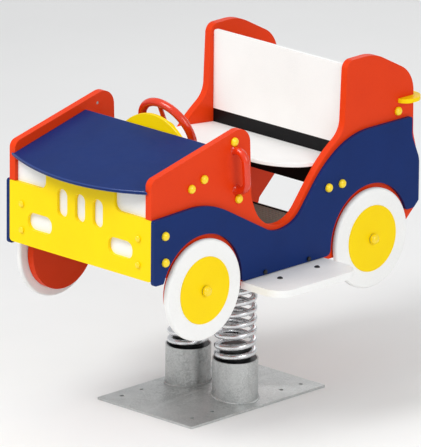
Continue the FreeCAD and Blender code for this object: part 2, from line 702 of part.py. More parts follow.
arms = []
step_bolts = []
step_under = size("step_base") - 0.1
for name, hand in hands:
    for x, y in step_spots:
        near, far = sorted((hand * 205, hand * 400))
        inner_near, inner_far = sorted((hand * 212, hand * 262))
        bar = block("step_bar", (x - 20, near, step_under - 8), (x + 20, far, step_under))
        spacer = block("step_spacer", (x - 20, inner_near, step_under),
                       (x + 20, inner_far, size("chassis_base") - 0.1))
        hole = rod("step_hole", "Sizes.bolt_hole", "40", (x, hand * y, 420))
        arm = cut("step_arm", fuse("step_arm_whole", [bar, spacer]), hole)
        place(arm)
        arms.append(arm)
        head = primitive("Sphere", "step_head", Radius="9", Angle1="0", Angle2="90", Angle3="360")
        head.Placement = Placement(Vector(x, hand * y, size("step_base") + size("step_thick")), Rotation())
        shank = rod("step_shank", "Sizes.bolt_radius", "42", (x, hand * y, 427))
        bolt = fuse("step_bolt", [head, shank])
        place(bolt)
        step_bolts.append(bolt)
group("step_brackets", arms)
group("step_bolts", step_bolts)

# ---- bolts through the panels and their caps ----------------------------------------------------------
def dome(name, radius, hand):
    """Half ball whose flat side faces the car."""
    ball = primitive("Sphere", name, Radius=radius, Angle1="0", Angle2="90", Angle3="360")
    ball.Placement = Placement(Vector(), Rotation(Vector(0, 0, 1), out_y[hand]))
    return ball


def nut(name, radius, height, hand, base=(0, 0, 0)):
    """Hexagon round a bolt across the car, 1.5 mm outwards of the bolt's inner end."""
    hexagon = primitive("Prism", name, Circumradius=str(radius), Height=str(height))
    hexagon.Polygon = 6
    hexagon.Placement = Placement(Vector(*base) + out_y[hand] * 1.5, Rotation(Vector(0, 0, 1), out_y[hand]))
    return hexagon


bolt_inner = size("panel_inner") - size("angle_thick") - 10
for name, hand in hands:
    caps = []
    bolts = []
    for part, spots in bracket_bolts.items():
        face = overlay_outer if part in overlaid else panel_outer
        end = panel_outer - size("panel_thick") + 1 if part == "handle" else bolt_inner
        for x, z in spots:
            cap = dome("bolt_cap", "Sizes.cap_radius", hand)
            place(cap, x=str(x), y=str(hand * (face + 0.1)), z=str(z))
            caps.append(cap)
            pieces = [rod("bolt_shank", "Sizes.bolt_radius", str(face - end), direction=out_y[hand])]
            if part != "handle":
                pieces.append(nut("bolt_nut", 9, 8, hand))
            bolt = fuse("panel_bolt", pieces)
            place(bolt, x=str(x), y=str(hand * end), z=str(z))
            bolts.append(bolt)
    group(f"bolt_caps_{name}", caps)
    group(f"panel_bolts_{name}", bolts)

chassis_bolts = []
for name, hand in hands:
    for x, z in chassis_spots:
        head = rod("chassis_head", "7", "5", (x, hand * overlay_outer, z), out_y[hand])
        shank = rod("chassis_shank", "Sizes.bolt_radius", "60", (x, hand * (overlay_outer - 59), z), out_y[hand])
        bolt = fuse("chassis_bolt", [head, shank])
        place(bolt)
        chassis_bolts.append(bolt)
group("chassis_bolts", chassis_bolts)

# ---- axles and wheels ---------------------------------------------------------------------------------
tyre_inner = size("tyre_inner_y")
tyre_thick = size("tyre_thick")
disc_face = tyre_inner + tyre_thick + size("disc_proud")
head_face = disc_face + size("side_gap")
axles = []
axle_caps = []
for name, hand in hands:
    for x, z in axle_spots.values():
        inner_end = size("panel_inner") - 14
        spindle = rod("axle_spindle", "Sizes.axle_radius", str(head_face - inner_end + 1),
                      (x, hand * inner_end, z), out_y[hand])
        head = rod("axle_head", "Sizes.axle_cap_radius - 1", "Sizes.axle_head", (x, hand * head_face, z),
                   out_y[hand])
        spacer = rod("axle_spacer", "16", str(tyre_inner - panel_outer - size("side_gap")),
                     (x, hand * panel_outer, z), out_y[hand])
        inner_nut = nut("axle_nut", 18, 12, hand, (x, hand * inner_end, z))
        axle = fuse("axle", [spindle, head, inner_nut, spacer])
        place(axle)
        axles.append(axle)
        cap = dome("axle_cap", "Sizes.axle_cap_radius", hand)
        place(cap, x=str(x), y=str(hand * (head_face + size("axle_head"))), z=str(z))
        axle_caps.append(cap)
group("axles", axles)
group("axle_caps", axle_caps)

bore = size("axle_radius") + size("axle_fit")
disc_radius = size("disc_radius")
wheel_radius = size("wheel_radius")
disc_thick = tyre_thick + size("disc_proud")
for end in axle_spots:
    for name, hand in hands:
        on_axle = dict(x=f"Sizes.wheel_{end}_x", y=f"{hand} * Sizes.tyre_inner_y", z=f"Sizes.wheel_{end}_z",
                       axis=Vector(1, 0, 0), angle=str(-90 * hand))
        tyre = new_body(f"tyre_{end}_{name}")
        turned(tyre, [(disc_radius + 0.2, 0, 0), (wheel_radius, 0, 6), (wheel_radius, tyre_thick, 9),
                      (disc_radius + 0.2, tyre_thick, 0)])
        place(tyre, **on_axle)
        disc = new_body(f"wheel_disc_{end}_{name}")
        turned(disc, [(bore, 0, 0), (disc_radius, 0, 0), (disc_radius, disc_thick, 2), (bore, disc_thick, 0)])
        place(disc, **on_axle)

# ---- check and write ----------------------------------------------------------------------------------
doc.recompute()
failed = [f"{thing.Label}: {thing.State}" for thing in doc.Objects
          if "Invalid" in thing.State or "Error" in thing.State]
for piece in nodes:
    if piece.Shape.isNull() or not piece.Shape.isValid():
        failed.append(f"{piece.Label}: shape is null or not valid")
if failed:
    raise SystemExit("failed objects:\n" + "\n".join(failed))

os.makedirs("parts", exist_ok=True)
for piece in nodes:
    piece.Shape.exportStep(f"parts/{piece.Label}.step")
    box = piece.Shape.BoundBox
    print(f"{piece.Label:22s} solids {len(piece.Shape.Solids)}  volume {piece.Shape.Volume / 1000:9.1f} cm3  "
          f"x {box.XMin:7.1f} {box.XMax:7.1f}  y {box.YMin:7.1f} {box.YMax:7.1f}  z {box.ZMin:7.1f} {box.ZMax:7.1f}")
print(len(nodes), "nodes")
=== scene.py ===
import json
import math

import bmesh
import bpy
import numpy as np
from mathutils import Matrix, Vector

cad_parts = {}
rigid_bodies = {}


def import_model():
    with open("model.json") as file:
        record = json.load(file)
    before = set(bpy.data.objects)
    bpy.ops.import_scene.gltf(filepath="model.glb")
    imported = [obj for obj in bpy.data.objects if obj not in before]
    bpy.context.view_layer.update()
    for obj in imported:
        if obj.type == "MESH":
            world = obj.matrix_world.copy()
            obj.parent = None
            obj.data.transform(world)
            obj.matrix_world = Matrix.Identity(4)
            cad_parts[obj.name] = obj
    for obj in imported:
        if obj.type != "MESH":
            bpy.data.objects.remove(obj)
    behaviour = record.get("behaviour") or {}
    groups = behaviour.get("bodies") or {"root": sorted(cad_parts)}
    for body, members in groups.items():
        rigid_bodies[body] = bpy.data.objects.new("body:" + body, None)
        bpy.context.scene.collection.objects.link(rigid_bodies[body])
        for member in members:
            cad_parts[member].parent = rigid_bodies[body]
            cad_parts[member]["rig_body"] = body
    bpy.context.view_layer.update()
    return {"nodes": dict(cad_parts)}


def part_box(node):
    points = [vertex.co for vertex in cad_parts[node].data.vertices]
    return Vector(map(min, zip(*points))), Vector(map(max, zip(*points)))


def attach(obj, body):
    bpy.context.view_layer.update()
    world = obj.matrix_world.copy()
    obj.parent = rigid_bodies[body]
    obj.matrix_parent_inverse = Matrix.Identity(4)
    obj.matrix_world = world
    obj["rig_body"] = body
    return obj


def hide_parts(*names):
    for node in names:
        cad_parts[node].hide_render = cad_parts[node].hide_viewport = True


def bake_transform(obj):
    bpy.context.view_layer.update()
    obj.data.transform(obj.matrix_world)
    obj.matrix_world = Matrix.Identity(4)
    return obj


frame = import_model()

nodes = frame["nodes"]
scene = bpy.context.scene
print("frame loaded:", len(nodes), "nodes")


# ---- meshes -------------------------------------------------------------------------------------------
meshLook = {
    "newMerge": 1e-6,        # points of a new surface closer than this are one point
    "cadMerge": 2e-6,        # and the same for the CAD's loose triangles
    "newSharp": 35,          # degrees between two faces from which their edge shows as sharp
    "cadSharp": 30,
    "flat": 0.4,             # degrees within which neighbouring triangles are one flat face
    "smallLoop": 0.03,       # an edge loop that fits in this is a bolt hole and keeps its crisp edge
}


def addObject(name, mesh):
    thing = bpy.data.objects.new(name, mesh)
    scene.collection.objects.link(thing)
    return thing


def shadeSmooth(mesh, sharpDegrees):
    mesh.polygons.foreach_set("use_smooth", np.ones(len(mesh.polygons), bool))
    mesh.set_sharp_from_angle(angle=math.radians(sharpDegrees))


def closedMesh(name, vertices, faces):
    # Points that coincide are joined, which closes seams and poles, and the faces are turned outwards.
    mesh = bpy.data.meshes.new(name)
    mesh.from_pydata(vertices.tolist(), [], faces)
    work = bmesh.new()
    work.from_mesh(mesh)
    bmesh.ops.remove_doubles(work, verts=work.verts, dist=meshLook["newMerge"])
    bmesh.ops.recalc_face_normals(work, faces=work.faces)
    work.to_mesh(mesh)
    work.free()
    shadeSmooth(mesh, meshLook["newSharp"])
    return addObject(name, mesh)


def quadFaces(index):
    # Quads between neighbouring rows and columns of a grid of point numbers.
    quads = np.stack([index[:-1, :-1], index[:-1, 1:], index[1:, 1:], index[1:, :-1]], axis=-1)
    return quads.reshape(-1, 4).tolist()


def tubeFaces(rows, columns, first, wrapRows):
    # Columns run round a closed loop. Rows run round one too, or end in two lids.
    index = np.arange(rows * columns).reshape(rows, columns) + first
    lids = [] if wrapRows else [index[0].tolist(), index[-1][::-1].tolist()]
    if wrapRows:
        index = np.vstack([index, index[:1]])
    return quadFaces(np.hstack([index, index[:, :1]])) + lids


def surface(name, grids, wrapRows=False):
    # One mesh from a list of (rows, columns, 3) arrays of points.
    faces = []
    first = 0
    for grid in grids:
        rows, columns = grid.shape[:2]
        faces += tubeFaces(rows, columns, first, wrapRows)
        first += rows * columns
    return closedMesh(name, np.concatenate([grid.reshape(-1, 3) for grid in grids]), faces)


def circleAngles(steps):
    return np.linspace(0, 2 * math.pi, steps, endpoint=False)


def turned(profile, centre, axis):
    # Surface of revolution: each (radius, height) of the profile goes round the axis that starts at centre.
    axis = np.array(axis, float)
    upright = axis[2] != 0
    across = np.cross(axis, (1.0, 0.0, 0.0) if upright else (0.0, 0.0, 1.0))
    other = np.cross(axis, across)
    angle = circleAngles(48)
    ring = np.cos(angle)[:, None] * across + np.sin(angle)[:, None] * other
    profile = np.array(profile, float)
    return np.array(centre) + profile[:, 1, None, None] * axis + profile[:, 0, None, None] * ring[None]


def tube(path, radius, side, steps, closed=False):
    # A circle of the given radius is carried along a path. side is a direction that is never along the path.
    if closed:
        ahead = np.roll(path, -1, axis=0) - np.roll(path, 1, axis=0)
    else:
        ahead = np.gradient(path, axis=0)
    ahead /= np.linalg.norm(ahead, axis=1)[:, None]
    first = np.cross(ahead, side)
    first /= np.linalg.norm(first, axis=1)[:, None]
    second = np.cross(ahead, first)
    angle = circleAngles(steps)[None, :, None]
    radius = np.broadcast_to(radius, len(path))[:, None, None]
    return path[:, None] + radius * (np.cos(angle) * first[:, None] + np.sin(angle) * second[:, None])


def arcPoints(centre, radius, start, end, count):
    # Points (across, up) on a circle between two angles in degrees.
    angle = np.radians(np.linspace(start, end, count))
    return np.stack([centre[0] + radius * np.cos(angle), centre[1] + radius * np.sin(angle)], axis=1)


def loopLabels(count, first, second):
    # Lowest point number that each point reaches along the given edges.
    label = np.arange(count)
    while True:
        low = np.minimum(label[first], label[second])
        fresh = label.copy()
        np.minimum.at(fresh, first, low)
        np.minimum.at(fresh, second, low)
        if (fresh == label).all():
            return label
        label = fresh[fresh]


def mergedMesh(node, name, flatten):
    # The CAD mesh is loose triangles. They are joined up, and flattening turns each flat stretch of them into
    # a few large faces with no hollow corner.
    work = bmesh.new()
    work.from_mesh(nodes[node].data)
    bmesh.ops.remove_doubles(work, verts=work.verts, dist=meshLook["cadMerge"])
    if flatten:
        bmesh.ops.dissolve_limit(work, angle_limit=math.radians(meshLook["flat"]), verts=work.verts,
                                 edges=work.edges, delimit={"NORMAL"})
        bmesh.ops.connect_verts_concave(work, faces=work.faces)
    mesh = bpy.data.meshes.new(name)
    work.to_mesh(mesh)
    work.free()
    return mesh


def readArray(items, field, width, kind):
    # One field of every vertex, edge or face of a mesh, as rows of the given width.
    values = np.zeros(len(items) * width, kind)
    items.foreach_get(field, values)
    return values.reshape(-1, width)


def edgeTable(mesh):
    # The two points of each edge, and the angle between its two faces, which is 0 where it hasn't two.
    ends = readArray(mesh.edges, "vertices", 2, int)
    loopEdge = readArray(mesh.loops, "edge_index", 1, int).ravel()
    total = readArray(mesh.polygons, "loop_total", 1, int).ravel()
    normals = readArray(mesh.polygons, "normal", 3, float)
    face = np.repeat(np.arange(len(total)), total)
    order = np.argsort(loopEdge, kind="stable")
    edge, starts = np.unique(loopEdge[order], return_index=True)
    uses = np.diff(np.append(starts, len(order)))
    paired = uses == 2
    one = face[order[starts[paired]]]
    two = face[order[starts[paired] + 1]]
    angle = np.zeros(len(mesh.edges))
    angle[edge[paired]] = np.arccos(np.clip((normals[one] * normals[two]).sum(1), -1, 1))
    return ends, angle


def solidBoxes(node):
    # Lowest and highest corner of each separate solid in a CAD node.
    mesh = mergedMesh(node, "solids", False)
    ends = readArray(mesh.edges, "vertices", 2, int)
    spots = readArray(mesh.vertices, "co", 3, float)
    label = loopLabels(len(spots), ends[:, 0], ends[:, 1])
    boxes = [(spots[label == one].min(0), spots[label == one].max(0)) for one in np.unique(label)]
    bpy.data.meshes.remove(mesh)
    return boxes


def bevelWeights(mesh):
    # 1 on each sharp edge, apart from the small loops round bolt holes.
    ends, angle = edgeTable(mesh)
    sharp = angle > math.radians(meshLook["cadSharp"])
    spots = readArray(mesh.vertices, "co", 3, float)
    label = loopLabels(len(spots), ends[sharp, 0], ends[sharp, 1])
    low = np.full((len(spots), 3), np.inf)
    high = -low
    np.minimum.at(low, label, spots)
    np.maximum.at(high, label, spots)
    wide = (high[label] - low[label]).max(1) > meshLook["smallLoop"]
    return (sharp & wide[ends[:, 0]]).astype(np.float32)


def roundedCopy(node, radius, segments=4, edgeMaterial=False):
    # Takes the place of a CAD node, with its long sharp edges rounded.
    mesh = mergedMesh(node, node + "_rounded", True)
    if mesh.has_custom_normals:
        mesh.attributes.remove(mesh.attributes["custom_normal"])
    thing = addObject(node + "_rounded", mesh)
    weights = bevelWeights(mesh)
    mesh.attributes.new("bevel_weight_edge", "FLOAT", "EDGE").data.foreach_set("value", weights)
    shadeSmooth(mesh, meshLook["cadSharp"])
    bevel = thing.modifiers.new("roundedEdges", "BEVEL")
    bevel.limit_method = "WEIGHT"
    bevel.width = radius
    bevel.segments = segments
    bevel.use_clamp_overlap = True
    bevel.harden_normals = True
    bevel.miter_outer = "MITER_ARC"
    if edgeMaterial:
        bevel.material = 1
    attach(thing, nodes[node]["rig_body"])
    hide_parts(node)
    return thing


# ---- materials ----------------------------------------------------------------------------------------
def toLinear(hexText):
    shade = np.array([int(hexText[i:i + 2], 16) for i in (0, 2, 4)]) / 255
    linear = np.where(shade <= 0.04045, shade / 12.92, ((shade + 0.055) / 1.055) ** 2.4)
    return (*linear.tolist(), 1.0)


def addNode(tree, kind, inputs=(), **settings):
    node = tree.nodes.new(kind)
    for name, value in settings.items():
        setattr(node, name, value)
    for socket, value in dict(inputs).items():
        if isinstance(value, bpy.types.NodeSocket):
            tree.links.new(value, node.inputs[socket])
        else:
            node.inputs[socket].default_value = value
    return node


def startMaterial(name, surfaceValues):
    material = bpy.data.materials.new(name)
    material.use_nodes = True
    tree = material.node_tree
    tree.nodes.clear()
    shader = addNode(tree, "ShaderNodeBsdfPrincipled", surfaceValues)
    output = addNode(tree, "ShaderNodeOutputMaterial")
    tree.links.new(shader.outputs["BSDF"], output.inputs["Surface"])
    place = addNode(tree, "ShaderNodeTexCoord").outputs["Object"]
    return material, tree, shader, place


def connect(tree, shader, colour, roughness, normal):
    for socket, value in (("Base Color", colour), ("Roughness", roughness), ("Normal", normal)):
        tree.links.new(value, shader.inputs[socket])


def spread(tree, value, low, high):
    # Stretches a 0 to 1 value to run from low to high.
    stretch = addNode(tree, "ShaderNodeMapRange", {"Value": value, "To Min": low, "To Max": high})
    return stretch.outputs["Result"]


def noiseNode(tree, place, size, detail):
    return addNode(tree, "ShaderNodeTexNoise", {"Vector": place, "Scale": 1 / size, "Detail": detail})


def noise(tree, place, size, detail=2.0):
    # Noise whose lumps are about size metres across.
    return noiseNode(tree, place, size, detail).outputs["Fac"]


def multiply(tree, first, second):
    return addNode(tree, "ShaderNodeMath", {0: first, 1: second}, operation="MULTIPLY").outputs[0]


def blendColours(tree, factor, first, second):
    mix = addNode(tree, "ShaderNodeMix", data_type="RGBA")
    factorSocket, firstSocket, secondSocket = mix.inputs[0], mix.inputs[6], mix.inputs[7]
    tree.links.new(factor, factorSocket)
    firstSocket.default_value = toLinear(first)
    secondSocket.default_value = toLinear(second)
    return mix.outputs[2]


def relief(tree, height, depth, strength, under=None):
    bump = addNode(tree, "ShaderNodeBump", {"Height": height, "Distance": depth, "Strength": strength})
    if under is not None:
        tree.links.new(under, bump.inputs["Normal"])
    return bump.outputs["Normal"]


# Sizes and depths are in metres. Each gloss pair is the least and the most roughness.
sheetLook = {
    "surface": {"IOR": 1.53, "Specular IOR Level": 0.12},
    "cloud": 0.11,
    "speck": 0.004,
    "contrast": 1.6,
    "rubbed": 0.035,
    "gloss": (0.34, 0.46),
    "peel": 0.0022,
    "peelDepth": 0.00012,
    "peelStrength": 0.5,
}


def polyethyleneSheet(name, pale, deep, look=sheetLook):
    # Polyethylene board, coloured right through and pressed between steel platens: a soft sheen, a fine
    # orange-peel face, faint cloudiness in the colour and a few rubbed patches that shine a little more.
    material, tree, shader, place = startMaterial(name, look["surface"])
    mottle = multiply(tree, noise(tree, place, look["cloud"], 3.0), noise(tree, place, look["speck"], 4.0))
    colour = blendColours(tree, spread(tree, mottle, 0.0, look["contrast"]), pale, deep)
    roughness = spread(tree, noise(tree, place, look["rubbed"], 4.0), *look["gloss"])
    peel = noise(tree, place, look["peel"], 3.0)
    connect(tree, shader, colour, roughness, relief(tree, peel, look["peelDepth"], look["peelStrength"]))
    return material


# The materials below share one recipe: a noise blends the two colours, the same noise sets the gloss, and a
# finer noise raises the face a little.
plainLooks = {
    # The board where a router rounded its edge and a flame glazed it: smoother and glossier than the face,
    # with faint lines left by the cutter.
    "routed": {
        "surface": {"IOR": 1.53, "Coat Weight": 0.35, "Coat Roughness": 0.12},
        "cloud": (0.06, 3.0), "gloss": (0.16, 0.27),
        "grain": (0.0016, 2.0), "depth": 0.00004, "strength": 0.3,
    },
    # Injection-moulded nylon: even colour, clear highlights, a hint of flow marks.
    "moulded": {
        "surface": {"IOR": 1.53, "Coat Weight": 0.25, "Coat Roughness": 0.1},
        "cloud": (0.012, 3.0), "gloss": (0.22, 0.32),
        "grain": (0.003, 2.0), "depth": 0.00003, "strength": 0.3,
    },
    # The same nylon on parts that hands keep polished.
    "mouldedGlossy": {
        "surface": {"IOR": 1.53, "Coat Weight": 0.25, "Coat Roughness": 0.1},
        "cloud": (0.012, 3.0), "gloss": (0.16, 0.26),
        "grain": (0.003, 2.0), "depth": 0.00003, "strength": 0.3,
    },
    # Spring wire with bright zinc plating: near to a mirror, with fine drawing marks.
    "plated": {
        "surface": {"Metallic": 1.0},
        "cloud": (0.02, 4.0), "gloss": (0.2, 0.34),
        "grain": (0.0015, 3.0), "depth": 0.00004, "strength": 0.35,
    },
    # Turned and cold-headed stainless steel: satin, with marks too fine to see one by one.
    "stainless": {
        "surface": {"Metallic": 1.0},
        "cloud": (0.004, 4.0), "gloss": (0.24, 0.4),
        "grain": (0.0008, 2.0), "depth": 0.00002, "strength": 0.3,
    },
    # Black powder coat on cast iron: slightly lumpy, half gloss.
    "powderCoated": {
        "surface": {"IOR": 1.5},
        "cloud": (0.0015, 3.0), "gloss": (0.3, 0.5),
        "grain": (0.0015, 3.0), "depth": 0.00015, "strength": 0.5,
    },
}


def plainMaterial(name, kind, pale, deep):
    look = plainLooks[kind]
    material, tree, shader, place = startMaterial(name, look["surface"])
    cloud = noise(tree, place, *look["cloud"])
    grain = noise(tree, place, *look["grain"])
    connect(tree, shader, blendColours(tree, cloud, pale, deep), spread(tree, cloud, *look["gloss"]),
            relief(tree, grain, look["depth"], look["strength"]))
    return material


zincLook = {
    "surface": {"Metallic": 0.75},
    "spangle": 0.009,
    "ragged": 1 / 120,
    "bloom": 0.05,
    "contrast": 1.5,
    "gloss": (0.36, 0.52),
    "ripple": 0.006,
    "rippleDepth": 0.0002,
    "rippleStrength": 0.25,
}


def galvanisedSteel(name, pale, deep, look=zincLook):
    # Steel dipped in molten zinc: crystals of zinc up to about 9 mm across that catch the light differently,
    # under a dull grey bloom. Multiplying the position by a noise makes the crystals uneven.
    material, tree, shader, place = startMaterial(name, look["surface"])
    ragged = noiseNode(tree, place, look["ragged"], 2.0).outputs["Color"]
    warped = addNode(tree, "ShaderNodeVectorMath", {0: place, 1: ragged}, operation="MULTIPLY").outputs[0]
    crystals = addNode(tree, "ShaderNodeTexVoronoi", {"Vector": warped, "Scale": 1 / look["spangle"]})
    shade = addNode(tree, "ShaderNodeSeparateColor", {0: crystals.outputs["Color"]}).outputs[0]
    both = multiply(tree, shade, noise(tree, place, look["bloom"], 4.0))
    colour = blendColours(tree, spread(tree, both, 0.0, look["contrast"]), pale, deep)
    ripple = noise(tree, place, look["ripple"], 4.0)
    connect(tree, shader, colour, spread(tree, shade, *look["gloss"]),
            relief(tree, ripple, look["rippleDepth"], look["rippleStrength"]))
    return material


gripLook = {
    "surface": {"IOR": 1.5},
    "grit": 0.0012,
    "worn": 0.06,
    "gloss": (0.55, 0.8),
    "studPitch": 0.014,
    "studRim": (0.22, 0.34),    # where a stud's shoulder starts and ends, as shares of the pitch
    "gritDepth": 0.0003,
    "gritStrength": 0.5,
    "studDepth": 0.0008,
    "studStrength": 0.8,
}


def gripFloor(name, pale, deep, look=gripLook):
    # Anti-slip board: round studs at 14 mm centres over a gritty face, dulled by shoes.
    material, tree, shader, place = startMaterial(name, look["surface"])
    grit = noise(tree, place, look["grit"], 3.0)
    colour = blendColours(tree, noise(tree, place, look["worn"], 4.0), pale, deep)
    studs = addNode(tree, "ShaderNodeTexVoronoi", {
        "Vector": place, "Scale": 1 / look["studPitch"], "Randomness": 0.0})
    raised = addNode(tree, "ShaderNodeMapRange", {
        "Value": studs.outputs["Distance"], "From Min": look["studRim"][0], "From Max": look["studRim"][1],
        "To Min": 1.0, "To Max": 0.0})
    gritty = relief(tree, grit, look["gritDepth"], look["gritStrength"])
    studded = relief(tree, raised.outputs["Result"], look["studDepth"], look["studStrength"], gritty)
    connect(tree, shader, colour, spread(tree, grit, *look["gloss"]), studded)
    return material


colours = {
    "red": ("E6400F", "DA360C"),
    "blue": ("0B2C6B", "08235A"),
    "yellow": ("FFDF00", "F8D000"),
    "white": ("F6F6F4", "ECECEA"),
    "black": ("121214", "0A0A0B"),
}
faces = {tint: polyethyleneSheet(tint + "_polyethylene_pressed", *pair) for tint, pair in colours.items()}
edges = {tint: plainMaterial(tint + "_polyethylene_routed", "routed", *pair)
         for tint, pair in colours.items() if tint != "blue"}
# The blue boards' routed edges get a paler blue than their faces: a painted highlight along the rounded
# arris.
edges["blue"] = plainMaterial("blue_polyethylene_routed_painted_highlight", "routed", "123A85", "0D2F70")
yellowCap = plainMaterial("yellow_nylon_moulded", "moulded", "FFE000", "F6CF00")
redGrip = plainMaterial("red_nylon_moulded", "mouldedGlossy", "E2380C", "D22F0A")
zinc = galvanisedSteel("steel_hot_dip_galvanised", "D4D6D5", "A9ACAB")
platedWire = plainMaterial("spring_steel_zinc_plated", "plated", "F2F3F4", "D5D7DA")
stainless = plainMaterial("stainless_steel_turned", "stainless", "C9C9C7", "A8A8A6")
castBlack = plainMaterial("cast_iron_powder_coated", "powderCoated", "17181A", "0B0C0D")
floorGrip = gripFloor("grey_polyethylene_anti_slip", "7A776E", "65635B")
print("materials made")


def paint(thing, *materials):
    thing.data.materials.clear()
    for material in materials:
        thing.data.materials.append(material)
    thing.data.polygons.foreach_set("material_index", np.zeros(len(thing.data.polygons), np.int32))
    return thing


# ---- boards -------------------------------------------------------------------------------------------
# radius is how far the router rounded the edge.
boardLooks = {
    "side_panel": {"tint": "red", "radius": 0.0085, "slot": "red_board"},
    "overlay": {"tint": "blue", "radius": 0.0045, "slot": "blue_board"},
    "hood": {"tint": "blue", "radius": 0.0045, "slot": "blue_board"},
    "front_panel": {"tint": "yellow", "radius": 0.004, "slot": "yellow_plastic"},
    "front_wall": {"tint": "white", "radius": 0.003, "slot": "white_board"},
    "dash_panel": {"tint": "yellow", "radius": 0.004, "slot": "yellow_plastic"},
    "seat": {"tint": "white", "radius": 0.005, "slot": "white_board"},
    "backrest": {"tint": "white", "radius": 0.004, "slot": "white_board"},
    # The rear board is black as painted shade: it stands where the inside of the car lies in deep shade.
    "rear_board": {"tint": "black", "radius": 0.002, "slot": "black_board"},
    "rear_shelf": {"tint": "yellow", "radius": 0.005, "slot": "yellow_plastic"},
    "step": {"tint": "white", "radius": 0.008, "slot": "white_board"},
    "floor_trim": {"tint": "black", "radius": 0.002, "slot": "black_board"},
}


def boardKind(node):
    return next((kind for kind in boardLooks if node in (kind, kind + "_left", kind + "_right")), None)


for node in filter(boardKind, sorted(nodes)):
    look = boardLooks[boardKind(node)]
    board = roundedCopy(node, look["radius"], edgeMaterial=True)
    paint(board, faces[look["tint"]], edges[look["tint"]])
print("boards rounded")

# ---- wheels -------------------------------------------------------------------------------------------
for node in sorted(nodes):
    if node.startswith("tyre_"):
        paint(nodes[node], faces["white"])
    if node.startswith("wheel_disc_"):
        paint(nodes[node], faces["yellow"])

# ---- steel --------------------------------------------------------------------------------------------
steelEdge = {"radius": 0.0008, "segments": 2}
foldedSteel = ("base_plate", "spring_top_plates", "chassis_frame", "hood_brackets", "seat_brackets",
               "shelf_brackets", "corner_brackets", "back_angles", "dash_brackets", "step_brackets")
for node in foldedSteel:
    steel = roundedCopy(node, steelEdge["radius"], steelEdge["segments"])
    paint(steel, zinc)

carriedOver = (
    (zinc, ("post_tube_left", "post_tube_right")),
    (stainless, ("panel_bolts_left", "panel_bolts_right", "axles", "steering_shaft", "steering_collar",
                 "front_screws")),
    (castBlack, ("lower_plug_left", "lower_plug_right", "upper_plug_left", "upper_plug_right",
                 "steering_bush", "steering_hub", "chassis_bolts")),
    (redGrip, ("steering_rim", "steering_spokes")),
    (yellowCap, ("steering_cap",)),
    (floorGrip, ("floor_plate",)),
)
for material, names in carriedOver:
    for node in names:
        paint(nodes[node], material)
print("steel, plugs and steering wheel dressed")

# ---- springs ------------------------------------------------------------------------------------------
upwards = (0, 0, 1)
springShape = {
    "wire": 0.0095,          # radius of the wire
    "sides": 20,             # points round the wire
    "samples": 1400,         # points along the wire
    "easing": 60,            # samples each way over which the change of pitch is eased
    "pitch": 0.0346,
    "closedPitch": 0.0215,   # pitch of the end turns, which lie nearly shut
    "closedTurns": 0.7,
    "blendStart": 0.178,     # the wire is held by the plugs below and above these heights
    "blendEnd": 0.396,
}


def eased(values, width):
    # Mean over width samples each way, with the values carried on evenly past both ends.
    before = 2 * values[0] - values[width:0:-1]
    after = 2 * values[-1] - values[-2:-width - 2:-1]
    window = 2 * width + 1
    return np.convolve(np.concatenate([before, values, after]), np.ones(window) / window, "valid")


def springPath(low, high, look):
    # A helix whose height rises by one pitch per turn, and more slowly over the closed turns at both ends.
    middle = (low + high) / 2
    radius = (high[0] - low[0]) / 2 - look["wire"]
    foot = low[2] + look["wire"]
    rise = high[2] - low[2] - 2 * look["wire"]
    closed = look["closedTurns"] * look["closedPitch"]
    free = (rise - 2 * closed) / look["pitch"]
    start = closed / look["pitch"] - look["closedTurns"]
    knots = np.cumsum([start, look["closedTurns"], free, look["closedTurns"]])
    turn = np.linspace(knots[0], knots[-1], look["samples"])
    height = np.interp(turn, knots, foot + np.cumsum([0, closed, rise - 2 * closed, closed]))
    angle = 2 * math.pi * turn
    x = middle[0] + radius * np.cos(angle)
    y = middle[1] + radius * np.sin(angle)
    return np.stack([x, y, eased(height, look["easing"])], axis=1)


for hand in ("left", "right"):
    low, high = (np.array(corner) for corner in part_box("spring_" + hand))
    path = springPath(low, high, springShape)
    wire = surface("coil_" + hand, [tube(path, springShape["wire"], upwards, springShape["sides"])])
    paint(wire, platedWire)
    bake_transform(wire)
    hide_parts("spring_" + hand)
print("springs wound")

# ---- welds --------------------------------------------------------------------------------------------
weldShape = {
    "radius": 0.0035,
    "proud": 0.3,            # how far the bead's middle stands off both faces, as a share of its radius
    "ripples": 96,
    "rippleDepth": 0.0006,
    "samples": 480,
    "sides": 12,
}
plateShape = {"rim": 0.008, "rise": 0.018, "crownX": 0.010, "crownY": 0.007}


def plateHeight(x, y):
    # The folded plate rises from its rim towards the crown, by the smaller of its two slopes.
    low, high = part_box("base_plate")
    half = (high - low) / 2
    middle = (high + low) / 2
    shareX = (half[0] - abs(x - middle[0])) / (half[0] - plateShape["crownX"])
    shareY = (half[1] - abs(y - middle[1])) / (half[1] - plateShape["crownY"])
    return plateShape["rim"] + plateShape["rise"] * np.clip(np.minimum(shareX, shareY), 0, 1)


for hand in ("left", "right"):
    low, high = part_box("post_tube_" + hand)
    middle = (low + high) / 2
    proud = weldShape["radius"] * weldShape["proud"]
    reach = (high[0] - low[0]) / 2 + proud
    angle = circleAngles(weldShape["samples"])
    x = middle[0] + reach * np.cos(angle)
    y = middle[1] + reach * np.sin(angle)
    seam = np.stack([x, y, plateHeight(x, y) + proud], axis=1)
    thick = weldShape["radius"] + weldShape["rippleDepth"] * np.sin(angle * weldShape["ripples"])
    ring = tube(seam, thick, upwards, weldShape["sides"], closed=True)
    bead = surface("weld_" + hand, [ring], wrapRows=True)
    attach(bead, "base")
    paint(bead, zinc)
print("welds laid")

# ---- caps and screws ----------------------------------------------------------------------------------
capShape = {"skirt": 0.0038, "rounding": 0.0012}
screwCapShape = {"radius": 0.0095, "height": 0.0075, "overlap": 0.004}
domeSteps = 14


